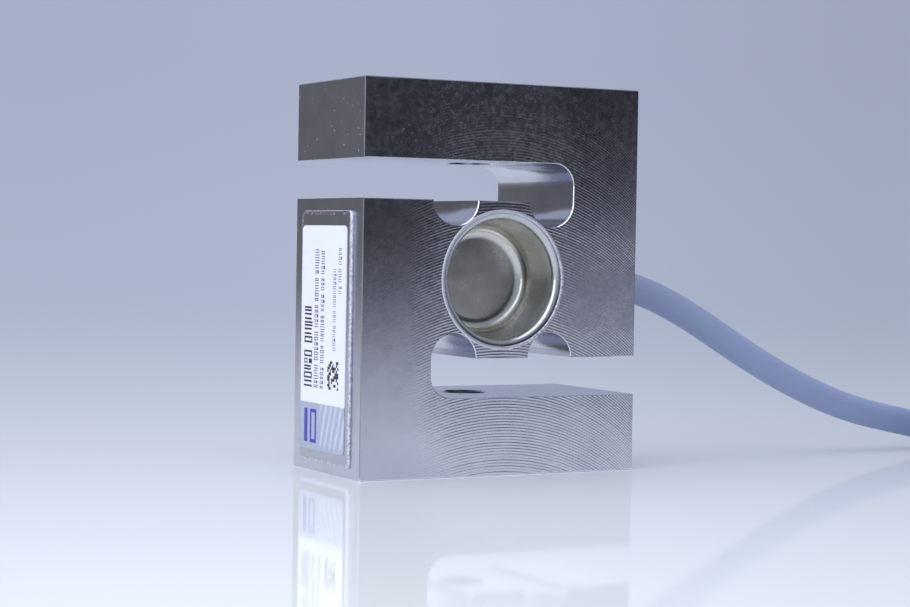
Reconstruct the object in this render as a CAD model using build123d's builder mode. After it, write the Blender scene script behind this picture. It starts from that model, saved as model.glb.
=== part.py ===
from build123d import *
import os
from math import atan2, cos, degrees, hypot, pi, radians, sin, tan

# A strain gauge load cell of the S type, in millimetres.
# X runs to the right along the front face, Y to the back and Z up.
# The origin is the centre of the block's foot, on the line of the two threaded holes.

# Spring body, milled from one block of stainless steel
block_width = 50.8
block_depth = 25.4
leg_height = 12.7
slot_height = 6.35
middle_height = 25.4
slot_end_fillet = 3.6
notch_radius = 4.05
notch_spread = 8.9  # from the centre line to a notch's centre
gauge_wall = 1.26  # steel left between the bore and a notch
outer_edge_break = 0.15
slot_edge_break = 0.12
thread_radius = 4.0  # M8, at the bottom of the thread's groove
thread_mouth_break = 0.25

# Cups that close the bore, with their weld beads
seat_land = 1.1
seat_depth = 0.9
cup_weld_width = 0.47
cup_weld_crown = 0.12
cup_rim_sink = 0.05
cup_clearance = 0.15
cup_sheet = 0.4
cup_room = 6.1  # left between the two cups for gauges and wires
cup_lip_depth = 1.3
cup_lip_radius = 1.25
cup_wall_draft = 6.8  # degrees
cup_corner_radius = 2.3

# Pocket in the left face, its cover plate, weld seam and label
cover_side_margin = 3.75
cover_end_margin = 2.1
cover_thickness = 0.5
cover_corner_radius = 0.5
cover_weld_corner_radius = 0.7
cover_overlap = 2.1
cover_weld_foot = 0.65
cover_weld_top = 0.2
pocket_depth = 6.0
pocket_corner_radius = 2.0
label_thickness = 0.1
label_corner_radius = 1.0
label_gap_rear = 0.15
label_gap_front = 0.85
label_gap_top = 2.3
label_gap_bottom = 1.4

# Compensation board in the pocket
pad_thickness = 0.5
board_thickness = 0.8
board_side_gap = 0.8
board_end_gap = 4.0
board_hole_radius = 2.1
resistor_length = 3.2
resistor_width = 1.6
resistor_height = 0.55
resistor_cap = 0.5
solder_thickness = 0.05
resistor_edge_gap = 1.65
resistor_pitch_z = 4.6
resistor_row_height = 7.6  # of the middle row, over the board's lower end

# Strain gauges and terminals on the wall of the bore
gauge_film = 0.12
gauge_foil = 0.05
gauge_length = 6.4
gauge_width = 4.4
grid_length = 4.2
grid_lines = 5
grid_line_width = 0.3
grid_pitch = 0.6
tab_length = 0.9
terminal_length = 2.4
terminal_gap = 0.3
terminal_pad = 0.9
bridge_wire_radius = 0.12

# Cable entry in the right face
wire_passage_radius = 1.75
chamber_radius = 3.3
gland_bore_radius = 5.0
bush_thread_length = 3.6
bush_head_length = 2.0
bush_head_flats = 11.0
bush_edge_break = 0.3
bush_mouth_radius = 3.5
bush_mouth_length = 5.2
seal_length = 2.4
washer_thickness = 0.6
crimp_length = 2.0
crimp_wall = 0.45
gland_clearance = 0.15

# Cable, its coil and its stripped end
cable_radius = 2.55
core_radius = 0.5
core_offset = 0.65
core_bend_radius = 1.0
core_tail = 4.2
coil_columns = 4
coil_levels = 5
coil_mean_radius = 26.75
coil_edge_radius = 2.3
coil_entry_turn = 30.0  # degrees that the cable swings before it joins the coil
coil_climb = 120.0  # degrees of a turn in which the cable climbs one level
last_level_turn = 72.0  # degrees of turn that lie on top of the coil
tie_width = 4.0
tie_thickness = 1.0
tie_clearance = 0.3
tie_lock_height = 18.0
tie_lock_width = 6.0
tie_lock_depth = 3.0
tie_lock_rim = 1.5
sleeve_length = 12.0
sleeve_round_length = 6.0
sleeve_flat_height = 1.9
lead_length = 15.0
lead_radius = 0.55
lead_pitch = 1.2
lead_clearance = 0.1
lead_fan = 4.0  # degrees from one lead to the next
ferrule_length = 6.0
ferrule_collar = 1.5
ferrule_pin_radius = 0.4

# Route of the cable from the gland to its coil, over the right face's plane.
# The first two points lie on the gland's axis, the others are heights over the table.
cable_bend_share = 0.45  # of the shorter run that a bend takes up
cable_route_start = [-8.9, 0.1]
cable_route = [
    (9.6, 29.85),
    (19.6, 25.43),
    (30.6, 19.04),
    (42.6, 12.89),
    (55.6, 7.89),
    (68.6, 5.24),
]

# Sizes that follow from those above
left_face_height = leg_height + slot_height + middle_height
block_height = left_face_height + slot_height + leg_height
mid_height = block_height / 2
face_x = block_width / 2
face_y = block_depth / 2
slot_end = notch_spread + notch_radius
gauge_angle = degrees(atan2(middle_height / 2, notch_spread))
bore_radius = hypot(middle_height / 2, notch_spread) - notch_radius - gauge_wall
seat_radius = bore_radius + seat_land
cup_depth = face_y - cup_room / 2 - cup_sheet

cover_width = block_depth - 2 * cover_side_margin
cover_height = left_face_height - 2 * cover_end_margin
cover_mid_height = left_face_height / 2
pocket_width = cover_width - 2 * cover_overlap
pocket_height = cover_height - 2 * cover_overlap
label_width = cover_width - label_gap_rear - label_gap_front
label_height = cover_height - label_gap_top - label_gap_bottom
label_mid_height = cover_mid_height + (label_gap_bottom - label_gap_top) / 2
label_mid_y = (label_gap_front - label_gap_rear) / 2
board_width = pocket_width - 2 * board_side_gap
board_height = pocket_height - 2 * board_end_gap
board_inner = pocket_depth - pad_thickness
board_outer = board_inner - board_thickness

bush_end = bush_thread_length
washer_end = bush_end + washer_thickness
seal_end = washer_end + seal_length
chamber_end = -cable_route_start[0]

bore_axis = Axis((0, 0, mid_height), (0, -1, 0))


def left_face_plane(depth=0.0):
    """Plane on the left face, or that far inside it, facing out. Its x runs to the front."""
    return Plane(origin=(-face_x + depth, 0, 0), x_dir=(0, -1, 0), z_dir=(-1, 0, 0))


def right_face_plane(depth=0.0):
    """Plane on the gland's axis at the right face, or that far inside it, facing out."""
    return Plane(origin=(face_x - depth, 0, mid_height), x_dir=(0, 1, 0), z_dir=(1, 0, 0))


def radial_plane(angle):
    """Plane through the bore's axis. Its x points out at that angle and its y to the back."""
    a = radians(angle)
    return Plane(
        origin=(0, 0, mid_height), x_dir=(cos(a), 0, sin(a)), z_dir=(-sin(a), 0, cos(a))
    )


def bore_degrees(length):
    """The angle that a length takes up on the wall of the bore."""
    return degrees(length / bore_radius)


def save(part, name):
    """Labels a finished piece and writes it."""
    part.label = name
    export_step(part, f"parts/{name}.step")


os.makedirs("parts", exist_ok=True)

# Spring body.
# The block's outer edges are broken first, so that the slots then cut clean mouths in them.
with BuildPart() as spring_body:
    with BuildSketch(Plane.XY):
        Rectangle(block_width, block_depth)
    extrude(amount=block_height)
    chamfer(spring_body.edges(), outer_edge_break)

    # The upper slot opens to the left and the lower one to the right.
    # Each ends in one round notch, passes a second one and has one plain rounded corner.
    with BuildSketch(Plane.XZ) as slots:
        for side, inner_wall in ((1, left_face_height), (-1, leg_height + slot_height)):
            mouth = -side * (face_x + outer_edge_break)
            outer_wall = inner_wall + side * slot_height
            with BuildLine():
                FilletPolyline(
                    (mouth, outer_wall),
                    (side * slot_end, outer_wall),
                    (side * slot_end, inner_wall),
                    radius=slot_end_fillet,
                )
                Polyline(
                    (side * slot_end, inner_wall), (mouth, inner_wall), (mouth, outer_wall)
                )
            make_face()
            with Locations((-notch_spread, inner_wall), (notch_spread, inner_wall)):
                Circle(notch_radius)
    extrude(amount=face_y, both=True, mode=Mode.SUBTRACT)

    def is_slot_edge(edge):
        middle = edge.center(CenterOf.MASS)
        on_face = abs(abs(middle.Y) - face_y) < 0.01
        inside_width = abs(middle.X) < face_x - outer_edge_break - 0.01
        above_foot = outer_edge_break + 0.01 < middle.Z
        below_top = middle.Z < block_height - outer_edge_break - 0.01
        return on_face and inside_width and above_foot and below_top

    chamfer(spring_body.edges().filter_by(is_slot_edge), slot_edge_break)

    # Bore for the gauges, with a seat for a cup at each end
    with Locations(
        Plane(origin=(0, -face_y, mid_height), x_dir=(1, 0, 0), z_dir=(0, -1, 0)),
        Plane(origin=(0, face_y, mid_height), x_dir=(-1, 0, 0), z_dir=(0, 1, 0)),
    ):
        CounterBoreHole(bore_radius, seat_radius, seat_depth, depth=block_depth)

    # Threaded holes through the two legs
    with Locations((0, 0, leg_height), (0, 0, block_height)):
        Hole(thread_radius, depth=leg_height)
    chamfer(
        spring_body.edges()
        .filter_by(GeomType.CIRCLE)
        .filter_by(lambda e: abs(e.radius - thread_radius) < 0.01)
        .filter_by(lambda e: hypot(e.arc_center.X, e.arc_center.Y) < 0.01),
        thread_mouth_break,
    )

    # Pocket behind the cover plate
    with BuildSketch(left_face_plane()):
        with Locations((0, cover_mid_height)):
            RectangleRounded(pocket_width, pocket_height, pocket_corner_radius)
    extrude(amount=-pocket_depth, mode=Mode.SUBTRACT)

    # Cable entry in the right face, and the wires' way through the bore to the pocket
    with Locations(right_face_plane()):
        Hole(gland_bore_radius, depth=seal_end)
        Hole(chamber_radius, depth=chamber_end)
        Hole(wire_passage_radius, depth=face_x)
    with Locations(left_face_plane() * Location((0, mid_height, 0))):
        Hole(wire_passage_radius, depth=face_x)
save(spring_body.part, "spring_body")

# Cups and their welds.
# Each cup is a deep drawn can with a rounded lip, and its rim rests on the seat of the bore.
rim_radius = seat_radius - cup_weld_width
cup_outer_radius = bore_radius - cup_clearance
cup_mouth_radius = cup_outer_radius - cup_sheet
cup_draft = tan(radians(cup_wall_draft))
cup_floor_radius = cup_mouth_radius - (cup_depth - cup_lip_depth) * cup_draft
cup_outer_depth = cup_depth + cup_sheet
cup_outer_floor_radius = cup_outer_radius - (cup_outer_depth - cup_lip_depth) * cup_draft

for end, side in (("front", 1), ("rear", -1)):
    # In this plane x is the radius and y the depth under the block's face.
    cup_plane = Plane(
        origin=(0, -side * face_y, mid_height), x_dir=(1, 0, 0), z_dir=(0, 0, side)
    )

    with BuildPart() as cup:
        with BuildSketch(cup_plane):
            with BuildLine():
                inside = FilletPolyline(
                    (0, cup_depth),
                    (cup_floor_radius, cup_depth),
                    (cup_mouth_radius, cup_lip_depth),
                    radius=cup_corner_radius,
                )
                lip = RadiusArc(inside @ 1, (rim_radius, cup_rim_sink), -cup_lip_radius)
                Polyline(
                    lip @ 1,
                    (rim_radius, seat_depth),
                    (cup_outer_radius, seat_depth),
                    (cup_outer_radius, cup_lip_depth),
                )
                FilletPolyline(
                    (cup_outer_radius, cup_lip_depth),
                    (cup_outer_floor_radius, cup_outer_depth),
                    (0, cup_outer_depth),
                    radius=cup_corner_radius + cup_sheet,
                )
                Line((0, cup_outer_depth), (0, cup_depth))
            make_face()
        revolve(axis=bore_axis)
    save(cup.part, f"{end}_cup")

    with BuildPart() as cup_weld:
        with BuildSketch(cup_plane):
            with BuildLine():
                Polyline(
                    (rim_radius, cup_rim_sink),
                    (rim_radius, seat_depth),
                    (seat_radius, seat_depth),
                    (seat_radius, 0),
                )
                ThreePointArc(
                    (seat_radius, 0),
                    ((rim_radius + seat_radius) / 2, -cup_weld_crown),
                    (rim_radius, cup_rim_sink),
                )
            make_face()
        revolve(axis=bore_axis)
    save(cup_weld.part, f"{end}_cup_weld")

# Cover plate over the pocket
with BuildPart() as cover_plate:
    with BuildSketch(left_face_plane()):
        with Locations((0, cover_mid_height)):
            RectangleRounded(cover_width, cover_height, cover_corner_radius)
    extrude(amount=cover_thickness)
save(cover_plate.part, "cover_plate")

# Weld seam round the cover plate, as a sloping bead from the face up to the plate's edge
with BuildPart() as cover_weld:
    with BuildSketch(left_face_plane()):
        with Locations((0, cover_mid_height)):
            RectangleRounded(
                cover_width + 2 * cover_weld_foot,
                cover_height + 2 * cover_weld_foot,
                cover_weld_corner_radius,
            )
    seam_slope = degrees(atan2(cover_weld_foot - cover_weld_top, cover_thickness))
    extrude(amount=cover_thickness, taper=seam_slope)
    with BuildSketch(left_face_plane()):
        with Locations((0, cover_mid_height)):
            RectangleRounded(cover_width, cover_height, cover_corner_radius)
    extrude(amount=cover_thickness, mode=Mode.SUBTRACT)
save(cover_weld.part, "cover_weld")

# Label on the cover plate
with BuildPart() as rating_label:
    with BuildSketch(left_face_plane(-cover_thickness)):
        with Locations((-label_mid_y, label_mid_height)):
            RectangleRounded(label_width, label_height, label_corner_radius)
    extrude(amount=label_thickness)
save(rating_label.part, "rating_label")

# Insulating pad on the floor of the pocket, and the compensation board on it
for name, bottom, thickness in (
    ("board_pad", pocket_depth, pad_thickness),
    ("compensation_board", board_inner, board_thickness),
):
    with BuildPart() as sheet:
        with BuildSketch(left_face_plane(bottom)):
            with Locations((0, cover_mid_height)):
                Rectangle(board_width, board_height)
            with Locations((0, mid_height)):
                Circle(board_hole_radius, mode=Mode.SUBTRACT)
        extrude(amount=thickness)
    save(sheet.part, name)

# Trimming resistors on the board, each a chip with a soldered cap at both ends
resistor_names = [
    "zero_trim_resistor",
    "zero_drift_resistor",
    "span_trim_resistor",
    "span_drift_resistor",
    "input_trim_resistor",
    "output_trim_resistor",
]
resistor_rows = len(resistor_names) // 2
resistor_mid_height = cover_mid_height - board_height / 2 + resistor_row_height
resistor_pitch_y = board_width - 2 * resistor_edge_gap - resistor_width
resistor_places = GridLocations(resistor_pitch_y, resistor_pitch_z, 2, resistor_rows)
for name, place in zip(resistor_names, resistor_places.local_locations):
    with BuildPart() as resistor:
        with BuildSketch(left_face_plane(board_outer)):
            with Locations((place.position.X, place.position.Y + resistor_mid_height)):
                Rectangle(resistor_width, resistor_length)
        extrude(amount=resistor_height)
        with BuildSketch(left_face_plane(board_outer)):
            for end in (-1, 1):
                cap_height = place.position.Y + end * (resistor_length - resistor_cap) / 2
                with Locations((place.position.X, cap_height + resistor_mid_height)):
                    Rectangle(resistor_width + 2 * solder_thickness, resistor_cap)
        extrude(amount=resistor_height + solder_thickness)
    save(resistor.part, name)

# Strain gauges, bonded to the wall of the bore where the notches leave it thin.
# Each is a film with a foil grid folded to and fro along the bend, and a tab at each side.
foil_outer = bore_radius - gauge_film
foil_inner = foil_outer - gauge_foil
grid_half = (grid_lines - 1) / 2
gauge_places = {
    "gauge_upper_right": gauge_angle,
    "gauge_upper_left": 180 - gauge_angle,
    "gauge_lower_left": 180 + gauge_angle,
    "gauge_lower_right": 360 - gauge_angle,
}
for name, angle in gauge_places.items():
    film_turn = bore_degrees(gauge_length)
    grid_turn = bore_degrees(grid_length)
    loop_turn = bore_degrees(grid_line_width)
    tab_turn = bore_degrees(tab_length)
    with BuildPart() as gauge:
        with BuildSketch(radial_plane(angle - film_turn / 2)):
            with Locations(((bore_radius + foil_outer) / 2, 0)):
                Rectangle(gauge_film, gauge_width)
        revolve(axis=bore_axis, revolution_arc=film_turn)
        with BuildSketch(radial_plane(angle - grid_turn / 2)):
            with Locations(((foil_outer + foil_inner) / 2, 0)):
                with GridLocations(0, grid_pitch, 1, grid_lines):
                    Rectangle(gauge_foil, grid_line_width)
        revolve(axis=bore_axis, revolution_arc=grid_turn)
        # Loops join each line to the next, at one end and the other by turns.
        for line in range(grid_lines - 1):
            loop_start = grid_turn / 2 if line % 2 == 0 else -grid_turn / 2 - loop_turn
            with BuildSketch(radial_plane(angle + loop_start)):
                loop_y = (line + 0.5 - grid_half) * grid_pitch
                with Locations(((foil_outer + foil_inner) / 2, loop_y)):
                    Rectangle(gauge_foil, grid_pitch + grid_line_width)
            revolve(axis=bore_axis, revolution_arc=loop_turn)
        # The first line's tab and the last line's tab lie at the free ends of the grid.
        last_tab_start = grid_turn / 2 if grid_lines % 2 else -grid_turn / 2 - tab_turn
        for tab_y, tab_start in (
            (-grid_half * grid_pitch, -grid_turn / 2 - tab_turn),
            (grid_half * grid_pitch, last_tab_start),
        ):
            with BuildSketch(radial_plane(angle + tab_start)):
                with Locations(((foil_outer + foil_inner) / 2, tab_y)):
                    Rectangle(gauge_foil, 2 * grid_line_width)
            revolve(axis=bore_axis, revolution_arc=tab_turn)
    save(gauge.part, name)

# Terminals on the bore's wall, one strip for each pair of gauges, with two raised pads.
# They lie between the gauges on the left and the wires' way to the pocket.
terminal_reach = gauge_length / 2 + terminal_gap + terminal_length / 2
terminal_angle = gauge_angle - bore_degrees(terminal_reach)
for name, angle in (
    ("upper_terminals", 180 - terminal_angle),
    ("lower_terminals", 180 + terminal_angle),
):
    strip_turn = bore_degrees(terminal_length)
    pad_turn = bore_degrees(terminal_pad)
    with BuildPart() as terminals:
        with BuildSketch(radial_plane(angle - strip_turn / 2)):
            with Locations(((bore_radius + foil_outer) / 2, 0)):
                Rectangle(gauge_film, gauge_width)
        revolve(axis=bore_axis, revolution_arc=strip_turn)
        for pad in (-1, 1):
            with BuildSketch(radial_plane(angle - pad_turn / 2)):
                with Locations(((foil_outer + foil_inner) / 2, pad * gauge_width / 4)):
                    Rectangle(gauge_foil, terminal_pad)
            revolve(axis=bore_axis, revolution_arc=pad_turn)
    save(terminals.part, name)

# Bridge wires along the bore's wall, from each gauge to the terminals of its half.
# Those of the two gauges on the right pass beside the gauges on the left.
wire_circle = bore_radius - bridge_wire_radius
near_start = gauge_angle + bore_degrees(gauge_length / 2)
wire_y = gauge_width / 2 + 2 * bridge_wire_radius
with BuildPart() as bridge_wires:
    for first, last, y in (
        (near_start, 180 - terminal_angle, wire_y),
        (180 + terminal_angle, 360 - near_start, wire_y),
        (180 - gauge_angle, 180 - terminal_angle, -wire_y),
        (180 + terminal_angle, 180 + gauge_angle, -wire_y),
    ):
        with BuildSketch(radial_plane(first)):
            with Locations((wire_circle, y)):
                Circle(bridge_wire_radius)
        revolve(axis=bore_axis, revolution_arc=last - first)
save(bridge_wires.part, "bridge_wires")

# Cores of the cable, from its stripped end through the bore to their pads on the board
core_start_x = face_x - chamber_end
core_bend_x = -face_x + board_outer - core_radius
core_colours = {"red": (-1, 1), "black": (1, 1), "green": (-1, -1), "white": (1, -1)}
for colour, (across, up) in core_colours.items():
    y = across * core_offset
    z = mid_height + up * core_offset
    core_start = (core_start_x, y, z)
    core_corner = (core_bend_x, y, z)
    core_end = (core_bend_x, y, mid_height + up * core_tail)
    with BuildPart() as core:
        with BuildLine() as core_line:
            FilletPolyline(core_start, core_corner, core_end, radius=core_bend_radius)
        with BuildSketch(Plane(origin=core_start, z_dir=(-1, 0, 0))):
            Circle(core_radius)
        sweep(path=core_line.wire())
    save(core.part, f"{colour}_core")

# Cable gland: a hollow bush screwed in the right face, a washer and a squeezed rubber ring
with BuildPart() as gland_bush:
    with BuildSketch(right_face_plane(bush_end)):
        Circle(gland_bore_radius - gland_clearance)
    extrude(amount=bush_end)
    with BuildSketch(right_face_plane()):
        RegularPolygon(bush_head_flats / 2, 6, major_radius=False)
    extrude(amount=bush_head_length)
    chamfer(gland_bush.faces().sort_by(Axis.X)[-1].outer_wire().edges(), bush_edge_break)
    with Locations(right_face_plane(-bush_head_length)):
        Hole(cable_radius + gland_clearance, depth=bush_end + bush_head_length)
    # The bore flares towards the cable's side, so that the cable can bend as it leaves.
    flare = degrees(atan2(bush_mouth_radius - cable_radius - gland_clearance, bush_mouth_length))
    with BuildSketch(right_face_plane(-bush_head_length)):
        Circle(bush_mouth_radius)
    extrude(amount=-bush_mouth_length, taper=flare, mode=Mode.SUBTRACT)
save(gland_bush.part, "gland_bush")

with BuildPart() as gland_washer:
    with BuildSketch(right_face_plane(washer_end)):
        Circle(gland_bore_radius - gland_clearance)
        Circle(cable_radius + gland_clearance, mode=Mode.SUBTRACT)
    extrude(amount=washer_thickness)
save(gland_washer.part, "gland_washer")

with BuildPart() as gland_seal:
    with BuildSketch(right_face_plane(seal_end)):
        Circle(gland_bore_radius)
        Circle(cable_radius, mode=Mode.SUBTRACT)
    extrude(amount=seal_length)
save(gland_seal.part, "gland_seal")

# Sleeve crimped on the end of the jacket, behind the step of the gland's bore
with BuildPart() as crimp_sleeve:
    with BuildSketch(right_face_plane(chamber_end)):
        Circle(cable_radius + crimp_wall)
        Circle(cable_radius, mode=Mode.SUBTRACT)
    extrude(amount=crimp_length)
save(crimp_sleeve.part, "crimp_sleeve")

# Cable, from its stripped end in the gland to the point where it swings into the coil
route = [Vector(face_x + x, 0, mid_height) for x in cable_route_start]
route += [Vector(face_x + x, 0, z) for x, z in cable_route]
bend_radii = []
for before, corner, after in zip(route, route[1:], route[2:]):
    turn = (corner - before).get_angle(after - corner)
    shorter = min((corner - before).length, (after - corner).length)
    bend_radii.append(cable_bend_share * shorter / tan(radians(turn / 2)))
print("cable bend radii", [round(r, 1) for r in bend_radii])

with BuildPart() as cable:
    with BuildLine() as cable_line:
        FilletPolyline(*route, radius=bend_radii)
    with BuildSketch(Plane(origin=route[0], z_dir=(1, 0, 0))):
        Circle(cable_radius)
    sweep(path=cable_line.wire())
save(cable.part, "cable")
cable_length = cable_line.wire().length
swept_volume = pi * cable_radius**2 * cable_length
print("cable tube length", round(cable_length, 1))
print("tube volume over section times length", round(cable.part.volume / swept_volume, 4))

# Coil of the rest of the cable, laid flat in rings of turns on top of each other.
# The cable leaves its route on an arc that comes level as it joins the outermost turn.
coil_floor = tie_thickness + cable_radius
pitch = 2 * cable_radius
outer_turn = coil_mean_radius + (coil_columns - 1) / 2 * pitch
inner_turn = coil_mean_radius - (coil_columns - 1) / 2 * pitch
coil_top = tie_thickness + coil_levels * pitch
arrival = (route[-1] - route[-2]).normalized()
entry = radians(coil_entry_turn)
joining = Vector(cos(entry), sin(entry), 0)
entry_reach = (route[-1].Z - coil_floor) / -arrival.Z
entry_point = route[-1] + (arrival + joining) * entry_reach
coil_centre = entry_point + Vector(sin(entry), -cos(entry), 0) * outer_turn
coil_centre = Vector(coil_centre.X, coil_centre.Y, 0)
coil_axis = Axis(coil_centre, (0, 0, -1))


def coil_plane(angle):
    """Upright plane through the coil's axis. Its x points out at that angle and its y up."""
    a = radians(angle)
    return Plane(origin=coil_centre, x_dir=(cos(a), sin(a), 0), z_dir=(sin(a), -cos(a), 0))


# Turns run clockwise seen from above, so an angle on the coil falls as the cable goes on.
entry_angle = 90 + coil_entry_turn
level_turn = 360 * (coil_columns - 1)
top_start = entry_angle - coil_levels * (level_turn + coil_climb)
end_angle = (top_start - last_level_turn) % 360
end_radius = inner_turn + pitch * last_level_turn / 360
top_height = coil_top + cable_radius
tail_turn = coil_climb / 2 + last_level_turn

with BuildPart() as cable_coil:
    with BuildSketch(coil_plane(0)):
        with Locations((coil_mean_radius, (tie_thickness + coil_top) / 2)):
            RectangleRounded(coil_columns * pitch, coil_levels * pitch, coil_edge_radius)
    revolve(axis=coil_axis)
    # The last part turn lies on top, along the inner edge.
    with BuildSketch(coil_plane(end_angle + tail_turn)):
        with Locations((end_radius, top_height)):
            Circle(cable_radius)
        with Locations((end_radius, coil_top)):
            Rectangle(pitch, pitch)
    revolve(axis=coil_axis, revolution_arc=tail_turn)
    # The arc by which the cable joins the coil
    with BuildLine() as entry_line:
        TangentArc(route[-1], entry_point, tangent=arrival)
    with BuildSketch(Plane(origin=route[-1], z_dir=arrival)):
        Circle(cable_radius)
    sweep(path=entry_line.wire())
save(cable_coil.part, "cable_coil")

# Ties round the coil, each a band drawn tight round the turns with a lock on its outside
tie_places = {"coil_tie_1": 35.0, "coil_tie_2": 215.0}
for name, angle in tie_places.items():
    corner_turns = [
        (inner_turn, tie_thickness + cable_radius),
        (outer_turn, tie_thickness + cable_radius),
        (outer_turn, coil_top - cable_radius),
        (inner_turn, coil_top - cable_radius),
    ]
    if (angle - end_angle) % 360 < tail_turn:
        corner_turns.append((end_radius, top_height))
    with BuildPart() as tie:
        for radius, mode in (
            (cable_radius + tie_thickness, Mode.ADD),
            (cable_radius + tie_clearance, Mode.SUBTRACT),
        ):
            with BuildSketch(coil_plane(angle)):
                with Locations(*corner_turns):
                    Circle(radius)
                make_hull()
            extrude(amount=tie_width / 2, both=True, mode=mode)
        with BuildSketch(coil_plane(angle)):
            with Locations((outer_turn + cable_radius + tie_thickness, tie_lock_height)):
                Rectangle(tie_lock_depth, tie_lock_width)
        extrude(amount=(tie_width + tie_lock_rim) / 2, both=True)
        with BuildSketch(coil_plane(angle)):
            with Locations(*corner_turns):
                Circle(cable_radius + tie_clearance)
            make_hull()
        extrude(amount=tie_width, both=True, mode=Mode.SUBTRACT)
    save(tie.part, name)

# Shrunk sleeve on the end of the jacket, which flattens over the leads that come out of it
lead_count = len(core_colours) + 1
lead_row = (lead_count - 1) * lead_pitch
sleeve_round_turn = degrees(sleeve_round_length / end_radius)
sleeve_turn = degrees(sleeve_length / end_radius)
sleeve_end = coil_plane(end_angle - sleeve_turn)
with BuildPart() as cable_end_sleeve:
    with BuildSketch(coil_plane(end_angle)):
        with Locations((end_radius, top_height)):
            Circle(cable_radius)
    revolve(axis=coil_axis, revolution_arc=sleeve_round_turn)
    with BuildSketch(coil_plane(end_angle - sleeve_round_turn)):
        with Locations((end_radius, top_height)):
            Circle(cable_radius)
    with BuildSketch(sleeve_end):
        with Locations((end_radius, coil_top + sleeve_flat_height / 2)):
            SlotOverall(lead_row + sleeve_flat_height, sleeve_flat_height)
    loft()
save(cable_end_sleeve.part, "cable_end_sleeve")

# Stripped leads, which fan out over the coil from the sleeve: four cores and the shield.
# Each ends in a crimped ferrule.
lead_names = [f"{colour}_lead" for colour in core_colours] + ["shield_lead"]
for place, name in enumerate(lead_names):
    across = place * lead_pitch - lead_row / 2
    lead_plane = Plane(
        sleeve_end
        * Location(
            (end_radius + across, coil_top + lead_radius, lead_clearance),
            (0, (place - (lead_count - 1) / 2) * lead_fan, 0),
        )
    )
    with BuildPart() as lead:
        with BuildSketch(lead_plane):
            Circle(lead_radius)
        extrude(amount=lead_length)
    save(lead.part, name)
    with BuildPart() as ferrule:
        with BuildSketch(lead_plane.offset(lead_length)):
            Circle(lead_radius)
        extrude(amount=ferrule_collar)
        with BuildSketch(lead_plane.offset(lead_length + ferrule_collar)):
            Circle(ferrule_pin_radius)
        extrude(amount=ferrule_length - ferrule_collar)
    save(ferrule.part, name.replace("lead", "ferrule"))
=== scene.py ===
# %% [markdown]
# A load cell is a block of steel that bends a little under a pull or a push. Its slots leave
# four thin places beside a bore, gauges sit on the bore's wall there, and two thin cups are
# welded in to keep the damp out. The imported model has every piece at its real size, so this
# lesson dresses it: the marks of the milling cutter, the welds, the print and the cable.

# %% Load the frame
from math import cos, pi, radians, sin
from random import Random

import bmesh
import bpy
from mathutils import Matrix, Vector


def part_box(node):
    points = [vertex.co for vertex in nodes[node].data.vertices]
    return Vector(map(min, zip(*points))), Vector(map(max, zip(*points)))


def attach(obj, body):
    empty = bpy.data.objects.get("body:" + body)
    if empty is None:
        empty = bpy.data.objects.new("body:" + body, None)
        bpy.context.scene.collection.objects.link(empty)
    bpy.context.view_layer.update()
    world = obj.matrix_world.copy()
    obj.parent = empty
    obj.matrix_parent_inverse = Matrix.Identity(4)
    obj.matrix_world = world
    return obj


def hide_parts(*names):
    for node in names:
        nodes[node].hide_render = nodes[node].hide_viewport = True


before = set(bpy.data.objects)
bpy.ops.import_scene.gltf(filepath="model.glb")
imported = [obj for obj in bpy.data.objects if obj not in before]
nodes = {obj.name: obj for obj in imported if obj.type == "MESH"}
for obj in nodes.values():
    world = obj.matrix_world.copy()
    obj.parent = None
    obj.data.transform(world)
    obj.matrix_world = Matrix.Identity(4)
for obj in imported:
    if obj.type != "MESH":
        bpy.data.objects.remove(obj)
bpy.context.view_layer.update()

MM = 0.001
bpy.ops.object.select_all(action="DESELECT")
print("nodes in the frame", len(nodes))

# %% [markdown]
# The block's own sizes are read back from the frame, so that every piece made here follows it.
# Blender works in metres, so a length that a maker would give in millimetres is written as a
# number times MM.

# %% Sizes read from the frame
block_low, block_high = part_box("spring_body")
left_x, right_x = block_low.x, block_high.x
bore_height = (block_low.z + block_high.z) / 2
plate_low, plate_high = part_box("cover_plate")
print("block", [round(v / MM, 2) for v in block_high - block_low], "mm")

# %% [markdown]
# The camera stands where the photograph was taken. Its place and turn were found by fitting
# the block's corners, and a long lens keeps the block's edges almost parallel.

# %% Camera
camera_place = Vector((-168.24, -308.93, 38.34)) * MM
camera_turn = radians(28.281)
camera_dip = radians(-1.777)
camera_roll = radians(0.957)
photo_width = 910
focal_length_in_pixels = 2103.6

level_right = Vector((cos(camera_turn), -sin(camera_turn), 0))
forward = Vector(
    (sin(camera_turn) * cos(camera_dip), cos(camera_turn) * cos(camera_dip), sin(camera_dip))
)
level_up = level_right.cross(forward)
right = level_right * cos(camera_roll) + level_up * sin(camera_roll)
up = level_up * cos(camera_roll) - level_right * sin(camera_roll)

bpy.ops.object.camera_add(location=camera_place)
camera = bpy.context.object
camera.name = "photo_view"
camera.rotation_euler = Matrix((right, up, -forward)).transposed().to_euler()
camera.data.sensor_width = 36
camera.data.lens = camera.data.sensor_width * focal_length_in_pixels / photo_width
camera.data.clip_start = 0.01
bpy.context.scene.camera = camera
bpy.context.scene.view_settings.view_transform = "Standard"
print("lens", round(camera.data.lens, 1), "mm")

# %% [markdown]
# Every finish here is a small tree of nodes. These helpers add a node with its inputs, do
# sums on values, and start a material, so that each finish below reads as a short recipe.

# %% Helpers for materials
def add(tree, kind, inputs=(), **settings):
    """Adds a node. Each input is a plain value or another node's output."""
    made = tree.nodes.new(kind)
    for name, value in settings.items():
        setattr(made, name, value)
    for socket, value in dict(inputs).items():
        if isinstance(value, bpy.types.NodeSocket):
            tree.links.new(value, made.inputs[socket])
        else:
            made.inputs[socket].default_value = value
    return made


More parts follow.
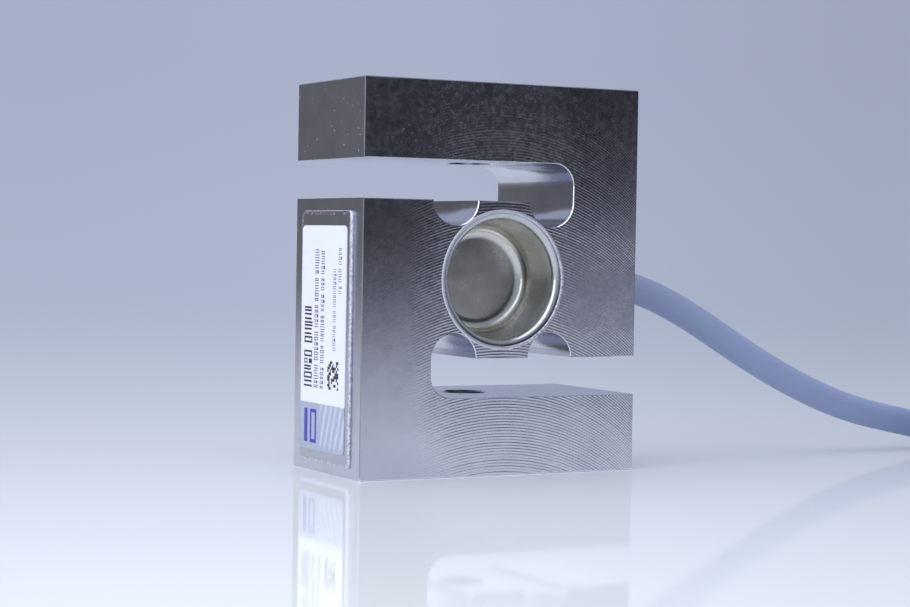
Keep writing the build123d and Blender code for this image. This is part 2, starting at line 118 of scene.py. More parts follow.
def calc(tree, operation, *values):
    """A sum on one to three values, as an output."""
    return add(tree, "ShaderNodeMath", enumerate(values), operation=operation).outputs[0]


def remap(tree, value, low, high, new_low=0.0, new_high=1.0):
    """A value taken from one range to another, and held inside it."""
    inputs = enumerate((value, low, high, new_low, new_high))
    return add(tree, "ShaderNodeMapRange", inputs).outputs[0]


def total(tree, *values):
    """The sum of any number of values."""
    so_far = values[0]
    for value in values[1:]:
        so_far = calc(tree, "ADD", so_far, value)
    return so_far


def product(tree, *values):
    """The product of any number of values."""
    so_far = values[0]
    for value in values[1:]:
        so_far = calc(tree, "MULTIPLY", so_far, value)
    return so_far


def blend(tree, share, first, second):
    """A colour between two colours, each three numbers or an output."""
    made = add(tree, "ShaderNodeMix", data_type="RGBA")
    for socket, value in ((0, share), (6, first), (7, second)):
        if isinstance(value, bpy.types.NodeSocket):
            tree.links.new(value, made.inputs[socket])
        else:
            made.inputs[socket].default_value = (*value, 1) if socket else value
    return made.outputs[2]


def new_material(name, **shader):
    """A material with one main shader, whose even values are set on its own sockets."""
    material = bpy.data.materials.new(name)
    material.use_nodes = True
    tree = material.node_tree
    surface = tree.nodes["Principled BSDF"]
    for socket, value in shader.items():
        surface.inputs[socket.replace("_", " ")].default_value = value
    return material, tree, surface


def paint(tree, surface, **inputs):
    """Links outputs to the main shader's sockets."""
    for socket, value in inputs.items():
        tree.links.new(value, surface.inputs[socket.replace("_", " ")])


def position(tree, scale=1 / MM):
    """The place on the piece, in millimetres unless said otherwise, as a vector output."""
    place = add(tree, "ShaderNodeTexCoord").outputs["Object"]
    return add(tree, "ShaderNodeVectorMath", {0: place, 3: scale}, operation="SCALE").outputs[0]


def split(tree, vector):
    """The three parts of a vector."""
    return add(tree, "ShaderNodeSeparateXYZ", {0: vector}).outputs


def noise(tree, place, scale, detail=2.0, stretch=(1, 1, 1), roughness=0.5):
    """Smooth noise with so many patches to the millimetre, drawn out along an axis."""
    drawn = add(tree, "ShaderNodeMapping", {"Vector": place, "Scale": stretch}).outputs[0]
    made = add(
        tree,
        "ShaderNodeTexNoise",
        {"Vector": drawn, "Scale": scale, "Detail": detail, "Roughness": roughness},
    )
    return made.outputs[0]


def bump(tree, surface, height, depth):
    """Relief of that depth in metres."""
    made = add(tree, "ShaderNodeBump", {"Height": height, "Distance": depth})
    tree.links.new(made.outputs[0], surface.inputs["Normal"])


def dress(name, material):
    """Gives a node of the frame its finish."""
    slots = nodes[name].data.materials
    slots.clear()
    slots.append(material)


# %% [markdown]
# The stage is a pale glossy table in a pale room. Near the block the table is a real surface
# that takes shadows and mirrors the block faintly. Further off it turns, little by little,
# into the room's own colour, so no line shows where the table ends. The room is brightest
# in the middle of the picture, and a direction's slant to the camera's own tells how far
# aside it lies.

# %% Stage
table_colour = (0.88, 0.89, 0.935)
room_colour = (0.385, 0.425, 0.56)
room_low_colour = (0.41, 0.455, 0.59)
table_radius = 4.0
table_drop = 0.02 * MM  # keeps the table's face off the block's foot
brightest_place = Vector((-0.092, -0.121, 0))  # between the block and the camera
fading_length = 0.42  # metres in which the real table fades to a third
least_depth = 0.35  # keeps the slant small beside the camera
fill_colour = (0.88, 0.93, 1.0)
fill_strength = 0.78


def room_glow(tree, ahead, aside):
    """The room's brightness: most in the middle, less at the left, least at the right."""
    slant = calc(tree, "DIVIDE", aside, calc(tree, "MAXIMUM", ahead, least_depth))
    right_share = remap(tree, slant, -0.02, 0.19, 1.05, 0.91)
    return product(tree, right_share, remap(tree, slant, -0.19, -0.02, 0.96, 1.0))


def measured_along(tree, vector, line):
    """How far a vector reaches along a line."""
    inputs = {0: vector, 1: line}
    return add(tree, "ShaderNodeVectorMath", inputs, operation="DOT_PRODUCT").outputs["Value"]


# %% Table
bpy.ops.mesh.primitive_circle_add(
    vertices=96, radius=table_radius, fill_type="NGON", location=(0, 0, -table_drop)
)
table = bpy.context.object
table.name = "table_top"

material, tree, surface = new_material("pale_table", Roughness=0.05)
surface.inputs["Base Color"].default_value = (*table_colour, 1)
place = position(tree, 1.0)
offset = add(
    tree, "ShaderNodeVectorMath", {0: place, 1: brightest_place}, operation="SUBTRACT"
).outputs[0]
distance = add(tree, "ShaderNodeVectorMath", {0: offset}, operation="LENGTH").outputs["Value"]
near_share = calc(tree, "EXPONENT", calc(tree, "MULTIPLY", distance, -1 / fading_length))
level_forward = Vector((sin(camera_turn), cos(camera_turn), 0))
ahead = calc(
    tree, "SUBTRACT", measured_along(tree, place, level_forward), camera_place.dot(level_forward)
)
aside = calc(
    tree, "SUBTRACT", measured_along(tree, place, level_right), camera_place.dot(level_right)
)
far_glow = room_glow(tree, ahead, aside)
far_table = add(tree, "ShaderNodeEmission", {0: (*room_low_colour, 1), 1: far_glow})
near_and_far = add(
    tree, "ShaderNodeMixShader", {0: near_share, 1: far_table.outputs[0], 2: surface.outputs[0]}
)
tree.links.new(near_and_far.outputs[0], tree.nodes["Material Output"].inputs[0])
table.data.materials.append(material)
print("table", table_radius, "m in radius")

# %% [markdown]
# The room is the world itself. The camera, mirror images and clear pieces see its walls,
# and everything else gets a plain pale fill, so the walls can be as dark as in the
# photograph and the block is still lit from all round.

# %% Room
world = bpy.data.worlds.new("pale_room")
bpy.context.scene.world = world
world.use_nodes = True
tree = world.node_tree
tree.nodes.clear()
rays = add(tree, "ShaderNodeLightPath").outputs
seen = calc(tree, "MAXIMUM", rays["Is Camera Ray"], rays["Is Glossy Ray"])
seen = calc(tree, "MAXIMUM", seen, rays["Is Transmission Ray"])
direction = add(tree, "ShaderNodeTexCoord").outputs["Generated"]
rise = remap(tree, split(tree, direction)[2], -0.01, 0.08)
wall = add(tree, "ShaderNodeBackground")
tree.links.new(blend(tree, rise, room_low_colour, room_colour), wall.inputs[0])
ahead = measured_along(tree, direction, level_forward)
aside = measured_along(tree, direction, level_right)
tree.links.new(room_glow(tree, ahead, aside), wall.inputs[1])
fill = add(tree, "ShaderNodeBackground", {0: (*fill_colour, 1), 1: fill_strength})
room = add(tree, "ShaderNodeMixShader", {0: seen, 1: fill.outputs[0], 2: wall.outputs[0]})
add(tree, "ShaderNodeOutputWorld", {0: room.outputs[0]})
print("room", len(tree.nodes), "nodes")

# %% [markdown]
# One wide soft box hangs over the table and gives the soft shadow under the block. A smaller
# one stands at the left, low down, and draws the bright lines along the steel's edges. A
# glossy table would mirror both as hard white patches, so each is a pair: a lamp that leaves
# the table out, and a twin that lights the table alone and shows in no mirror.

# %% Lamps
lamp_colour = (0.92, 0.955, 1.0)


def soft_box(name, place, target, width, height, brightness):
    """A pair of lamps at a place, turned to a target. A brightness of 1 looks white in a mirror."""
    for use, mirrored, state in (("object", True, "EXCLUDE"), ("table", False, "INCLUDE")):
        bpy.ops.object.light_add(type="AREA", location=place)
        made = bpy.context.object
        made.name = f"{name}_for_{use}"
        made.data.shape = "RECTANGLE"
        made.data.size = width
        made.data.size_y = height
        made.data.energy = brightness * pi * width * height
        made.data.color = lamp_colour
        made.visible_camera = False
        made.visible_glossy = mirrored
        made.rotation_euler = (Vector(target) - Vector(place)).to_track_quat("-Z", "Y").to_euler()
        lit = bpy.data.collections.new(made.name)
        lit.objects.link(table)
        lit.collection_objects[0].light_linking.link_state = state
        made.light_linking.receiver_collection = lit
        print(made.name, "at a brightness of", brightness)


soft_box("soft_box_over", (-0.42, -0.08, 1.0), (0, 0, 0), 1.3, 1.4, 1.95)
soft_box("soft_box_left", (-0.82, -0.33, 0.30), (0, 0, 0.03), 0.42, 0.6, 2.8)

# %% [markdown]
# Metal looks like what it mirrors. Photographers stand black cards close to a bright block to
# give its faces a gradient, and so does this scene. The cards show in mirror images only.
# Each is pale at the table and dark above, and fades out at its sides, so it leaves no edge.
# Its back is clear, because the table would mirror it in views from the sides.

# %% Black cards
def black_card(name, place, width, height, shades, turns, slope):
    """An upright card that faces the block, with a pale foot, a middle shade and a dark top."""
    bpy.ops.mesh.primitive_plane_add(size=1, location=(0, 0, 0))
    made = bpy.context.object
    made.name = name
    bpy.ops.object.mode_set(mode="EDIT")
    bpy.ops.transform.resize(value=(width, height, 1))
    bpy.ops.transform.translate(value=(0, height / 2, 0))
    bpy.ops.object.mode_set(mode="OBJECT")
    made.location = place
    made.rotation_euler = Vector((-place[0], -place[1], 0)).to_track_quat("Z", "Y").to_euler()
    material, tree, surface = new_material(name)
    tree.nodes.remove(surface)
    across, above, _ = split(tree, position(tree, 1.0))
    glow = add(tree, "ShaderNodeEmission")
    level = total(tree, above, product(tree, across, slope))
    foot_shade, middle_shade, dark_shade = shades
    foot_top, middle_from, middle_to, dark_from = turns  # heights in metres
    lower = blend(tree, remap(tree, above, foot_top, middle_from), foot_shade, middle_shade)
    shade = blend(tree, remap(tree, level, middle_to, dark_from), lower, dark_shade)
    tree.links.new(shade, glow.inputs[0])
    aside = calc(tree, "ABSOLUTE", across)
    side_share = remap(tree, aside, 0.32 * width, 0.5 * width, 1, 0)
    top_share = remap(tree, above, 0.8 * height, height, 1, 0)
    clear = add(tree, "ShaderNodeBsdfTransparent")
    back = add(tree, "ShaderNodeNewGeometry").outputs["Backfacing"]
    share = product(tree, side_share, top_share, calc(tree, "SUBTRACT", 1.0, back))
    inputs = {0: share, 1: clear.outputs[0], 2: glow.outputs[0]}
    faded = add(tree, "ShaderNodeMixShader", inputs)
    tree.links.new(faded.outputs[0], tree.nodes["Material Output"].inputs[0])
    made.data.materials.append(material)
    for kind in ("camera", "diffuse", "transmission", "volume_scatter", "shadow"):
        setattr(made, f"visible_{kind}", False)
    print(name, len(tree.nodes), "nodes")


front_shades = ((0.72, 0.745, 0.85), (0.25, 0.262, 0.325), (0.02, 0.018, 0.02))
left_shades = ((0.80, 0.82, 0.90), (0.42, 0.43, 0.48), (0.14, 0.137, 0.14))
front_turns = (0.002, 0.0145, 0.026, 0.042)
left_turns = (0.006, 0.016, 0.016, 0.026)
black_card("black_card_front", (0.074, -0.143, 0), 0.22, 0.13, front_shades, front_turns, 0.45)
black_card("black_card_left", (-0.090, 0.135, 0), 0.15, 0.14, left_shades, left_turns, 0.0)

# %% [markdown]
# The block's big faces were cut by a face mill that ran along Z. Its inserts leave equal
# arcs, a feed apart, over the whole width. An arc's height over its lowest point is known
# from the circle's formula, so one wave along (z minus that height) draws all of them. The
# mill's back edge cut a second, fainter set, which curves the other way.

# %% Arcs of the face mill
mill_radius = 38.0  # millimetres
mill_feed = 0.477
mill_centre = -0.3


def milled_arcs(tree, place, side=1.0):
    """The cutter's marks on the large faces: narrow ridges from 0 to 1, a feed apart."""
    x, _, z = split(tree, place)
    off = calc(tree, "SUBTRACT", x, mill_centre)
    rise = calc(tree, "SQRT", calc(tree, "SUBTRACT", mill_radius**2, product(tree, off, off)))
    wander = noise(tree, place, 0.35, 1.0)
    along = total(tree, z, product(tree, rise, -side), product(tree, wander, 0.10))
    turns = calc(tree, "DIVIDE", along, mill_feed)
    wave = product(tree, calc(tree, "PINGPONG", turns, 0.5), 2.0)
    number = calc(tree, "FLOOR", turns)
    each = add(tree, "ShaderNodeTexWhiteNoise", {"W": number}, noise_dimensions="1D").outputs[0]
    strength = remap(tree, each, 0, 1, 0.55, 1.0)
    patchy = noise(tree, place, 0.16, 2.0)
    strength = product(tree, strength, remap(tree, patchy, 0.35, 0.65, 0.6, 1.0))
    return product(tree, remap(tree, wave, 0.35, 1.0), strength)


# %% [markdown]
# The block is one piece with several finishes, and a surface's normal tells which one it
# has. The front and back carry the arcs, the narrow outer faces have an even satin grain,
# and the slots' walls show the rings of the end mill. What faces no way squarely is a broken
# edge, with painted shade on the outside and painted highlights in the slots and at the foot.

# %% Which face is which
squarely = 0.97  # from this share on, a normal counts as along an axis
edge_reach = 0.2  # millimetres


def facing(tree, axis_share):
    """1 where the surface faces along an axis, else 0."""
    return calc(tree, "GREATER_THAN", calc(tree, "ABSOLUTE", axis_share), squarely)


material, tree, surface = new_material("milled_steel", Metallic=1.0)
place = position(tree)
x, _, z = split(tree, place)
normal = split(tree, add(tree, "ShaderNodeTexCoord").outputs["Normal"])
faces_x, faces_y = facing(tree, normal[0]), facing(tree, normal[1])
across = calc(tree, "ABSOLUTE", normal[1])
not_x = calc(tree, "SUBTRACT", 1.0, faces_x)
walls = product(tree, calc(tree, "LESS_THAN", across, 0.05), not_x)
flat = calc(tree, "MAXIMUM", calc(tree, "MAXIMUM", faces_x, faces_y), walls)
edges = calc(tree, "SUBTRACT", 1.0, flat)
out = calc(tree, "SUBTRACT", calc(tree, "ABSOLUTE", x), right_x / MM)
out = calc(tree, "MAXIMUM", out, calc(tree, "SUBTRACT", z, block_high.z / MM))
outer = product(tree, edges, calc(tree, "GREATER_THAN", out, -edge_reach))
outer = product(tree, outer, calc(tree, "GREATER_THAN", z, edge_reach))
# Painted highlight along the edges at the foot.
painted_highlight_foot_edges = product(tree, edges, calc(tree, "LESS_THAN", z, 0.5))

# %% [markdown]
# The arcs aren't even. They are full on the lower leg and in the middle, fade out at the
# left, are faint on the top leg, and all but stop at a calm place right of the bore. So the
# arcs are weighted by soft steps along X and Z, with the places read off the photograph.

# %% Where the arcs show
begin = remap(tree, total(tree, x, product(tree, z, 0.08)), -15.0, -5.0, 0.03, 1.0)
begin = product(tree, begin, remap(tree, z, 10.0, 20.0, 0.85, 1.0))
upper = remap(tree, z, 46.0, 52.0, 1.0, 0.6)
upper = product(tree, upper, remap(tree, z, 55.0, 62.0, 1.0, 0.1))
calm = product(
    tree, remap(tree, x, 9.0, 14.0), remap(tree, z, 21.0, 25.0), remap(tree, z, 36.0, 31.0)
)
upper = product(tree, upper, remap(tree, calm, 0.0, 1.0, 1.0, 0.1))
second = remap(tree, total(tree, x, product(tree, z, -0.25)), 9.0, 16.0)
arcs = total(
    tree,
    product(tree, milled_arcs(tree, place), begin),
    product(tree, milled_arcs(tree, place, -1.0), second, 0.4),
)
arcs = product(tree, arcs, upper, faces_y)

# %% [markdown]
# Over and between the arcs lie the marks of handling: a fine grain, cloudy mottling that is
# weaker at the lower left, a few specks on the satin faces, and flecks that veil the top leg.
# Paler steel towards the foot is painted light, and darker steel right of the upper slot is painted
# shade.

# %% Grain, mottling and flecks
patches = noise(tree, place, 0.25, 3.0)
grain = noise(tree, place, 4.5, 3.0, roughness=0.65)
mottle = noise(tree, place, 1.3, 4.0, roughness=0.7)
stains = remap(tree, noise(tree, place, 0.12, 2.0), 0.48, 0.62)
rings = noise(tree, place, 1.6, 3.0, stretch=(0.08, 1.6, 0.08))
specks = add(tree, "ShaderNodeTexVoronoi", {"Vector": place, "Scale": 0.8}).outputs[0]
specks = calc(tree, "LESS_THAN", specks, 0.10)
specks = product(tree, specks, calc(tree, "GREATER_THAN", patches, 0.50), faces_x, 0.5)
plain_left = product(tree, remap(tree, x, -12.0, -17.0), remap(tree, z, 46.0, 42.0))
cloudy = product(tree, remap(tree, plain_left, 0.0, 1.0, 1.0, 0.4), faces_y)
veil = product(tree, remap(tree, z, 44.0, 52.0), remap(tree, x, 5.0, 17.0, 1.0, 0.15), faces_y)
veil = product(tree, veil, remap(tree, x, -24.0, -4.0, 0.25, 1.0))
flecks = product(tree, remap(tree, grain, 0.35, 0.65), remap(tree, mottle, 0.40, 0.60, 0.5, 1.0))
flecks = product(tree, flecks, remap(tree, patches, 0.35, 0.6, 0.5, 1.0))
flecks = product(tree, total(tree, product(tree, flecks, 0.6), product(tree, arcs, 1.4)), veil)
# Painted light: the steel is paler towards its foot.
foot = product(tree, remap(tree, z, 13.0, 0.5), flat, remap(tree, x, -18.0, -6.0, 0.6, 1.0))
# Painted shade right of the upper slot.
shaded = product(tree, remap(tree, x, 9.0, 15.0), remap(tree, z, 39.0, 45.0), faces_y)
shaded = product(tree, shaded, remap(tree, z, 58.0, 50.0, 0.3, 1.0))

# %% Relief of the steel
height = total(
    tree,
    product(tree, arcs, remap(tree, z, 16.0, 11.0, 0.024, 0.036)),
    product(tree, grain, remap(tree, faces_x, 0, 1, 0.0045, 0.0008)),
    product(tree, mottle, cloudy, 0.013),
    product(tree, mottle, stains, cloudy, 0.02),
    product(tree, rings, walls, 0.014),
)
bump(tree, surface, height, 1 * MM)

# %% Colour and gloss of the steel
steel_dark = (0.50, 0.51, 0.585)
steel_light = (0.68, 0.69, 0.76)
painted_light_steel = (0.81, 0.82, 0.90)
steel_shaded = (0.30, 0.30, 0.36)
painted_groove_shade = (0.24, 0.25, 0.30)
speck_and_highlight_bright = (0.95, 0.95, 1.0)
painted_edge_shade = (0.14, 0.14, 0.17)
tone = total(
    tree,
    product(tree, remap(tree, patches, 0.3, 0.7), 0.3),
    product(tree, remap(tree, mottle, 0.35, 0.65), cloudy, 0.35),
    product(tree, walls, 0.3),
    # Painted highlight: the edges in the slots and at the foot are lighter.
    product(tree, calc(tree, "SUBTRACT", edges, outer), 0.7),
)
colour = blend(tree, tone, steel_dark, steel_light)
# Painted light towards the foot.
colour = blend(tree, product(tree, foot, 0.9), colour, painted_light_steel)
# Painted shade: the arcs' grooves are darker, most on the lower leg.
groove_shade_share = remap(tree, z, 16.0, 11.0, 0.3, 0.5)
colour = blend(tree, product(tree, arcs, groove_shade_share), colour, painted_groove_shade)
# Painted shade right of the upper slot.
colour = blend(tree, product(tree, shaded, 0.55), colour, steel_shaded)
# Pale specks, and a painted highlight along the edges at the foot.
colour = blend(tree, calc(tree, "MAXIMUM", specks, painted_highlight_foot_edges), colour, speck_and_highlight_bright)
# Painted shade: the outer edges are darker, more so higher up.
edge_shade_share = remap(tree, z, 5.0, 40.0, 0.45, 0.8)
colour = blend(tree, product(tree, outer, edge_shade_share), colour, painted_edge_shade)

even_roughness = 0.215
rough = product(tree, remap(tree, mottle, 0.35, 0.65, -0.035, 0.035), cloudy)
rough = total(tree, rough, even_roughness, product(tree, faces_x, 0.075))
rough = calc(tree, "SUBTRACT", rough, product(tree, walls, 0.03))
rough = total(tree, rough, product(tree, outer, 0.45), product(tree, specks, 0.75))
rough = total(tree, rough, product(tree, flecks, 0.12))
paint(tree, surface, Base_Color=colour, Roughness=rough)
dress("spring_body", material)
print("milled steel", len(tree.nodes), "nodes")

# %% [markdown]
# The cups are drawn from thin bright sheet. Their steel is warmer than the block's, smooth,
# and shows the faint rings of the spinning that polished it. A brownish band on one side
# of the wall is a painted reflection of the darker side of the room.

# %% Cups
def around_bore(tree, place):
    """The place across and over the bore's axis, and the distance from it."""
    x, _, z = split(tree, place)
    over = calc(tree, "SUBTRACT", z, bore_height / MM)
    radius = calc(tree, "SQRT", total(tree, product(tree, x, x), product(tree, over, over)))
    return x, over, radius


material, tree, surface = new_material("drawn_cup", Metallic=1.0)
place = position(tree)
x, over, radius = around_bore(tree, place)
rings = add(
    tree, "ShaderNodeTexNoise", {"W": radius, "Scale": 5.0, "Detail": 2.0}, noise_dimensions="1D"
).outputs[0]
cloud = noise(tree, place, 0.45, 3.0)
scratches = noise(tree, place, 2.5, 3.0, stretch=(1, 0.1, 0.25))
lip_share = remap(tree, radius, 9.7, 10.1)
sheet = blend(tree, cloud, (0.50, 0.50, 0.47), (0.655, 0.65, 0.61))
wall_share = product(tree, remap(tree, radius, 8.1, 8.7), remap(tree, radius, 9.8, 9.4))
# Painted reflection: a brownish band on the wall's right side, where it mirrors the darker side of
# the room.
painted_reflection = product(tree, wall_share, remap(tree, over, -7.0, -3.0), remap(tree, over, 10.0, 7.0))
painted_reflection = product(tree, painted_reflection, remap(tree, x, 1.0, 5.0), 0.7)
sheet = blend(tree, painted_reflection, sheet, (0.32, 0.30, 0.24))
paint(
    tree,
    surface,
    Base_Color=blend(tree, lip_share, sheet, (0.51, 0.52, 0.545)),
    Roughness=remap(tree, cloud, 0.3, 0.7, 0.21, 0.28),
)
ripple = total(tree, product(tree, rings, 0.6), product(tree, scratches, 0.4))
bump(tree, surface, ripple, 0.004 * MM)
for name in ("front_cup", "rear_cup"):
    dress(name, material)
print("drawn cup", len(tree.nodes), "nodes")

# %% [markdown]
# Weld metal is matt and full of grains where the beam moved fast, and nearly smooth where it
# moved slowly. The cover's seam is fairly grainy all along, and a cup's ring is so at its
# lower right, so the contrast of the grains follows the place.

# %% Weld metal
even_shade = 0.66
material, tree, surface = new_material("weld_metal", Metallic=1.0, Roughness=0.6)
place = position(tree)
pebbles = noise(tree, place, 3.0, 3.0)
x, _, z = split(tree, place)
on_cover = remap(tree, x, -20.0, -22.0, 0.0, 0.6)
on_ring = product(tree, remap(tree, x, -3.0, 6.0), remap(tree, z, 44.0, 28.0, 0.15, 0.9))
grainy = total(tree, on_cover, on_ring, 0.1)
grains = calc(tree, "SUBTRACT", remap(tree, pebbles, 0.36, 0.62), even_shade)
shade = total(tree, product(tree, grains, grainy), even_shade)
paint(tree, surface, Base_Color=blend(tree, shade, (0.40, 0.40, 0.45), (0.84, 0.84, 0.90)))
relief = product(tree, pebbles, remap(tree, grainy, 0.0, 1.0, 0.45, 1.0))
bump(tree, surface, relief, 0.09 * MM)
weld_metal = material
print("weld metal", len(tree.nodes), "nodes")

# %% [markdown]
# The cover plate is plain rolled sheet, a little smoother than the block's satin faces, with
# a fine speckle and faint upright brushing.

# %% Cover plate
material, tree, surface = new_material("plate_steel", Metallic=1.0)
place = position(tree)
speckle = noise(tree, place, 2.6, 4.0, roughness=0.7)
brushing = noise(tree, place, 5.0, 3.0, stretch=(1, 1, 0.06))
paint(
    tree,
    surface,
    Base_Color=blend(tree, speckle, (0.52, 0.53, 0.59), (0.60, 0.61, 0.67)),
    Roughness=remap(tree, speckle, 0.3, 0.7, 0.27, 0.31),
)
bump(tree, surface, total(tree, speckle, product(tree, brushing, 0.5)), 0.0012 * MM)
dress("cover_plate", material)
print("plate steel", len(tree.nodes), "nodes")

# %% [markdown]
# New pieces are made as by hand: a primitive is added, shaped in edit mode, and finished with
# modifiers. Two helpers keep that short. One goes in and out of edit mode with everything
# selected, and one puts a finished piece's place into its mesh and lets it ride on the body.

# %% Helpers for pieces
def alone(piece):
    """Selects one object and nothing else."""
    bpy.ops.object.select_all(action="DESELECT")
    piece.select_set(True)
    bpy.context.view_layer.objects.active = piece


def edit(select="SELECT"):
    """Edit mode, with everything or nothing selected."""
    bpy.ops.object.mode_set(mode="EDIT")
    bpy.ops.mesh.select_all(action=select)


def done_editing():
    bpy.ops.object.mode_set(mode="OBJECT")


def finish_piece(piece, name, material, angle=40):
    """Settles a piece: faces out, place in its mesh, its finish, and its ride on the body."""
    alone(piece)
    piece.name = name
    piece.data.name = name
    for modifier in list(piece.modifiers):
        bpy.ops.object.modifier_apply(modifier=modifier.name)
    bpy.ops.object.transform_apply(location=True, rotation=True, scale=True)
    edit()
    bpy.ops.mesh.normals_make_consistent(inside=False)
    done_editing()
    bpy.ops.object.shade_smooth_by_angle(angle=radians(angle))
    piece.data.materials.clear()
    piece.data.materials.append(material)
    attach(piece, "root")
    print(name, len(piece.data.polygons), "faces")
    return piece


def roughen(piece, size, depth):
    """Small smooth lumps of that size, raised and sunk by that depth."""
    lumps = bpy.data.textures.new(piece.name, "CLOUDS")
    lumps.noise_scale = size
    lumps.noise_depth = 2
    modifier = piece.modifiers.new("lumps", "DISPLACE")
    modifier.texture = lumps
    modifier.strength = 2 * depth
    modifier.mid_level = 0.5
    modifier.texture_coords = "LOCAL"


# %% [markdown]
# Each cup is held by a ring of weld between its rim and the block. The beam left a bead with
# fine ripples, smooth in most places and grainy in others. A torus has the right run, it is
# drawn out to the depth of the groove, and a little displacement gives it its ripples.
# The cups' own weld solids are smooth, and each ring takes the place of one.

# %% Cup welds
weld_run_radius = 11.12 * MM
weld_half_width = 0.40 * MM
weld_lump = 0.45 * MM
weld_relief = 0.035 * MM
for end in ("front", "rear"):
    low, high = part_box(f"{end}_cup_weld")
    middle = (low + high) / 2
    bpy.ops.mesh.primitive_torus_add(
        location=middle,
        rotation=(pi / 2, 0, 0),
        major_segments=360,
        minor_segments=12,
        major_radius=weld_run_radius,
        minor_radius=weld_half_width,
    )
    ring = bpy.context.object
    edit()
    bpy.ops.transform.resize(value=(1, (high.y - low.y) / 2 / weld_half_width, 1))
    done_editing()
    roughen(ring, weld_lump, weld_relief)
    finish_piece(ring, f"{end}_weld_ring", weld_metal, 60)
    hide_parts(f"{end}_cup_weld")

# %% [markdown]
# The cover plate's seam is one bead that follows the plate's edge. A flat outline is rounded
# at its corners and cut into short steps, turned into a curve with a round section, and
# turned back into a mesh, which is pressed a little flatter, as a bead that sinks into its
# joint is. Its short steps give displacement something to move.

# %% Cover weld
bead_radius = 0.48 * MM
bead_flatness = 0.7  # the bead's height as a share of its width
bead_out = 0.10 * MM  # from the plate's sides and foot to the bead's middle
bead_in = 0.35 * MM  # from the plate's top down to the bead's middle
bead_step = 0.3 * MM
bead_corner = 0.5 * MM
plate_size = plate_high - plate_low
run_width = plate_size.y + 2 * bead_out
run_height = plate_size.z + bead_out - bead_in
bead_stand = 0.17 * MM  # from the block's face out to the bead's middle
bead_lump = 0.35 * MM
bead_relief = 0.06 * MM
bead_x = left_x - bead_stand
bead_foot = plate_low.z - bead_out
bead_middle = (bead_x, (plate_low.y + plate_high.y) / 2, bead_foot + run_height / 2)
bpy.ops.mesh.primitive_plane_add(size=1, location=bead_middle, rotation=(0, -pi / 2, 0))
bead = bpy.context.object
edit()
bpy.ops.transform.resize(value=(1, run_width, run_height))
bpy.ops.mesh.bevel(affect="VERTICES", offset=bead_corner, segments=4)
bpy.ops.mesh.delete(type="ONLY_FACE")
shape = bmesh.from_edit_mesh(bead.data)
for length, cuts in ((run_width, run_width / bead_step), (run_height, run_height / bead_step)):
    bpy.ops.mesh.select_all(action="DESELECT")
    for edge in shape.edges:
        if abs(edge.calc_length() - (length - 2 * bead_corner)) < 0.1 * MM:
            edge.select = True
    bmesh.update_edit_mesh(bead.data)
    bpy.ops.mesh.subdivide(number_cuts=int(cuts) - 1)
    shape = bmesh.from_edit_mesh(bead.data)
done_editing()
bpy.ops.object.convert(target="CURVE")
bead.data.bevel_depth = bead_radius
bead.data.bevel_resolution = 3
bpy.ops.object.convert(target="MESH")
edit()
bpy.ops.transform.resize(value=(bead_flatness, 1, 1))
done_editing()
roughen(bead, bead_lump, bead_relief)
finish_piece(bead, "cover_weld_bead", weld_metal, 60)
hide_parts("cover_weld")

# %% [markdown]
# The label is a thin film, white over most of its length and silvery at its foot, with pale
# slanted bands in the silver. It is a CAD piece and keeps its form, and only its paint is
# made here.

# %% Label film
silver_top = 11.15  # millimetres over the block's foot
material, tree, surface = new_material("label_film", Roughness=0.38)
place = position(tree)
_, y, z = split(tree, place)
film_grain = noise(tree, place, 1.5, 2.0)
white = blend(tree, film_grain, (0.73, 0.75, 0.86), (0.78, 0.80, 0.90))
silver = blend(tree, film_grain, (0.31, 0.35, 0.46), (0.38, 0.42, 0.53))
sway = noise(tree, place, 0.35, 1.0)
bands = total(tree, product(tree, y, 0.9), product(tree, z, 0.30), product(tree, sway, 0.8))
bands = remap(tree, calc(tree, "PINGPONG", bands, 0.85), 0.25, 0.75)
bands = product(tree, bands, remap(tree, y, 1.6, 0.6), remap(tree, z, 3.6, 4.8))
silver = blend(tree, product(tree, bands, 0.55), silver, (0.62, 0.68, 0.82))
below = calc(tree, "LESS_THAN", z, silver_top)
paint(tree, surface, Base_Color=blend(tree, below, white, silver))
bump(tree, surface, film_grain, 0.002 * MM)
dress("rating_label", material)
print("label film", len(tree.nodes), "nodes")

# %% [markdown]
# The print says nothing here: each line of small characters is a row of plain blocks of ink,
# and the square code is a loose pattern of dots. A block is a small plane, drawn out to the
# thickness of the ink and broken a little at its rim. Some blocks have a hole, so that a row
# looks as grey as real print. A fixed seed keeps every run the same.

# %% Label print
label_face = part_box("rating_label")[0].x
ink_thickness = 0.02 * MM
chance = Random(4)


def ink_block(y_from, y_to, z_from, z_to, hole=0.0):
    """A block of ink on the label, with a hole whose rim is that thick."""
    middle = (label_face, (y_from + y_to) / 2 * MM, (z_from + z_to) / 2 * MM)
    bpy.ops.object.select_all(action="DESELECT")
    bpy.ops.mesh.primitive_plane_add(size=1, location=middle, rotation=(0, -pi / 2, 0))
    edit()
    bpy.ops.transform.resize(value=(1, abs(y_to - y_from) * MM, abs(z_to - z_from) * MM))
    if hole:
        bpy.ops.mesh.inset(thickness=hole * MM)
        bpy.ops.mesh.delete(type="FACE")
        bpy.ops.mesh.select_all(action="SELECT")
    bpy.ops.mesh.extrude_region_move(TRANSFORM_OT_translate={"value": (-ink_thickness, 0, 0)})
    done_editing()
    return bpy.context.object


def ink_mark(form, y_from, y_to, z_from, z_to, rim):
    """One mark of a row: a frame, a pair of bars, or a stack of two blocks."""
    if form == "frame":
        return [ink_block(y_from, y_to, z_from, z_to, rim)]
    if form == "pair":
        return [ink_block(y_from, y_to, z, z + rim) for z in (z_from, z_to - rim)]
    gap = 0.2 * (y_from - y_to)
    middle = (y_from + y_to) / 2
    return [
        ink_block(y_from, middle + gap / 2, z_from, z_to, 0.7 * rim),
        ink_block(middle - gap / 2, y_to, z_from, z_to),
    ]


